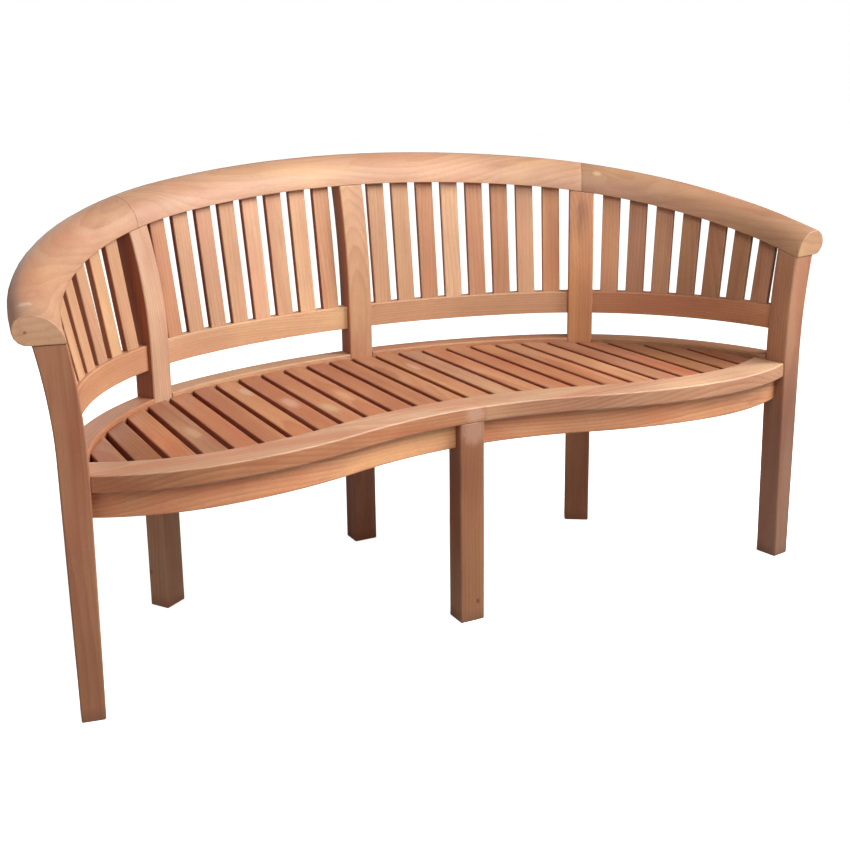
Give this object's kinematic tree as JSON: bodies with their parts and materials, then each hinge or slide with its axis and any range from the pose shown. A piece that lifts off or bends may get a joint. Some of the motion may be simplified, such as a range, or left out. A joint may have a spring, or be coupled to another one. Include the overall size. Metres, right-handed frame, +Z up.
{
  "type": "curved garden bench",
  "caption": "Curved slatted teak garden bench with a wrap-round back, a wavy seat front and a bowed top rail that falls to form the arms.",
  "frame": {"origin": "on the ground, under the middle of the bench's outline", "axes": "+X to the sitter's left, which is the right in a view from the front, along the bench; +Y from the seat's front to its back; +Z up"},
  "size_m": [1.6182, 0.6601, 0.847],
  "materials": {
    "back_slats": "satin teak, oiled, sanded smooth",
    "bearers": "sawn and planed teak",
    "brass_screws": "dull",
    "legs": "satin teak, oiled, sanded smooth",
    "pegs": "satin teak",
    "rails": "satin teak, oiled, sanded smooth",
    "seat_slats": "satin teak, oiled, sanded smooth",
    "top_rail": "satin teak, oiled, sanded smooth"
  },
  "bodies": {
    "root": {"back_seat_rail_left_center": "rails", "back_seat_rail_left_wing": "rails", "back_seat_rail_right_center": "rails", "back_seat_rail_right_wing": "rails", "back_slats_left_center": "back_slats", "back_slats_left_wing": "back_slats", "back_slats_right_center": "back_slats", "back_slats_right_wing": "back_slats", "center_back_post": "legs", "center_front_leg": "legs", "front_apron_left": "rails", "front_apron_right": "rails", "front_seat_rail_left": "rails", "front_seat_rail_right": "rails", "joint_pegs": "pegs", "ledger_screws": "brass_screws", "left_arm_post": "legs", "left_back_post": "legs", "lower_back_rail_left_center": "rails", "lower_back_rail_left_wing": "rails", "lower_back_rail_right_center": "rails", "lower_back_rail_right_wing": "rails", "right_arm_post": "legs", "right_back_post": "legs", "seat_bearer_center": "bearers", "seat_bearer_left": "bearers", "seat_bearer_right": "bearers", "seat_ledger_left_center": "bearers", "seat_ledger_left_wing": "bearers", "seat_ledger_right_center": "bearers", "seat_ledger_right_wing": "bearers", "seat_slat_01": "seat_slats", "seat_slat_02": "seat_slats", "seat_slat_03": "seat_slats", "seat_slat_04": "seat_slats", "seat_slat_05": "seat_slats", "seat_slat_06": "seat_slats", "seat_slat_07": "seat_slats", "seat_slat_08": "seat_slats", "seat_slat_09": "seat_slats", "seat_slat_10": "seat_slats", "seat_slat_11": "seat_slats", "seat_slat_12": "seat_slats", "seat_slat_13": "seat_slats", "seat_slat_14": "seat_slats", "seat_slat_15": "seat_slats", "seat_slat_16": "seat_slats", "seat_slat_17": "seat_slats", "seat_slat_18": "seat_slats", "seat_slat_19": "seat_slats", "seat_slat_20": "seat_slats", "seat_slat_21": "seat_slats", "seat_slat_22": "seat_slats", "seat_slat_23": "seat_slats", "seat_slat_24": "seat_slats", "seat_slat_25": "seat_slats", "top_rail_center": "top_rail", "top_rail_left": "top_rail", "top_rail_right": "top_rail"}
  },
  "joints": []
}
